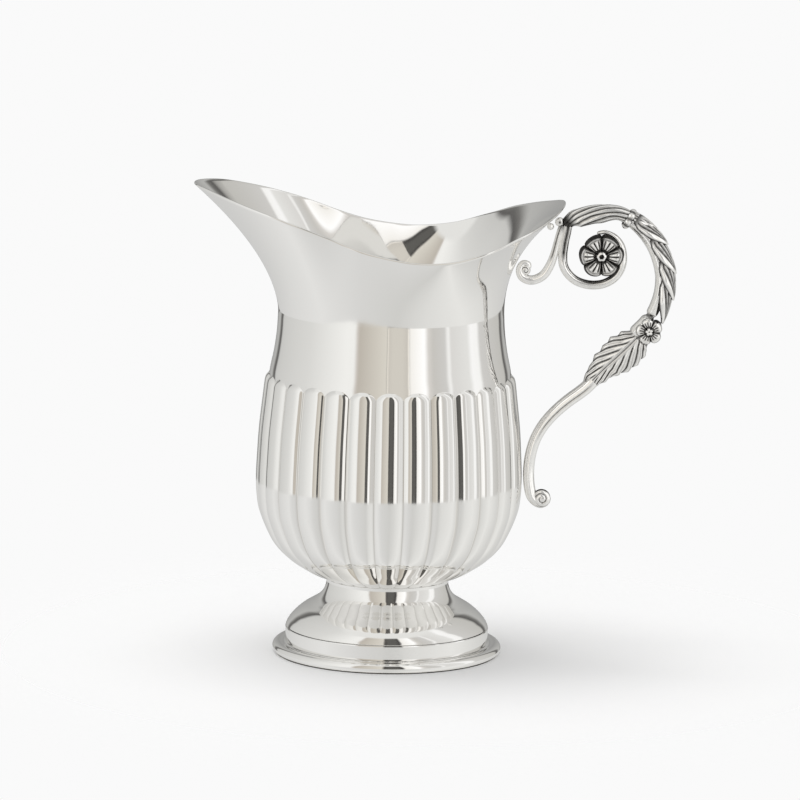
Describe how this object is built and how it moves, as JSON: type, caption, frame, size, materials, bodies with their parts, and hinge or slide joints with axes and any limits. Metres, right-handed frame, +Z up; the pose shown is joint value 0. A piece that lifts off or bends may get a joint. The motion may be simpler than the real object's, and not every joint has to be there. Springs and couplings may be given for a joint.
{
  "type": "water pitcher",
  "caption": "Silver water pitcher: lobed bowl on a moulded foot, plain neck with drawn spout, and a cast scroll handle with leaves, a rosette and a flower.",
  "frame": {"origin": "on the table, under the middle of the pitcher's overall length and width; the vessel's own axis is 19.7 mm from it towards -X", "axes": "+Z up along the vessel, -X towards the spout, +X towards the handle"},
  "size_m": [0.221, 0.1216, 0.2165],
  "materials": {
    "bright_silver": "polished silver, very slightly warm, with fine wear",
    "oxidised_silver": "cast and chased silver, bright on the high points and dark in the recesses"
  },
  "bodies": {
    "root": {"fluted_bowl": "bright_silver", "neck_and_spout": "bright_silver", "foot_trumpet": "bright_silver", "foot_band": "bright_silver", "foot_base_moulding": "bright_silver", "scroll_strand": "bright_silver", "neck_bracket": "bright_silver", "lower_stem": "bright_silver", "volute_eye_front": "bright_silver", "volute_eye_back": "bright_silver", "bracket_eye_front": "bright_silver", "bracket_eye_back": "bright_silver", "thumb_bead": "bright_silver", "rim_knop": "bright_silver", "handle_arc": "oxidised_silver", "handle_collar": "oxidised_silver", "laurel_leaf_1": "oxidised_silver", "laurel_leaf_2": "oxidised_silver", "laurel_leaf_3": "oxidised_silver", "laurel_leaf_4": "oxidised_silver", "laurel_leaf_5": "oxidised_silver", "upper_leaf_1": "oxidised_silver", "upper_leaf_2": "oxidised_silver", "rosette_front": "oxidised_silver", "rosette_back": "oxidised_silver", "rosette_boss_front": "oxidised_silver", "rosette_boss_back": "oxidised_silver", "rosette_core": "oxidised_silver", "flower_front": "oxidised_silver", "flower_back": "oxidised_silver", "flower_bead_front": "oxidised_silver", "flower_bead_back": "oxidised_silver", "acanthus_leaf": "oxidised_silver"}
  },
  "joints": []
}
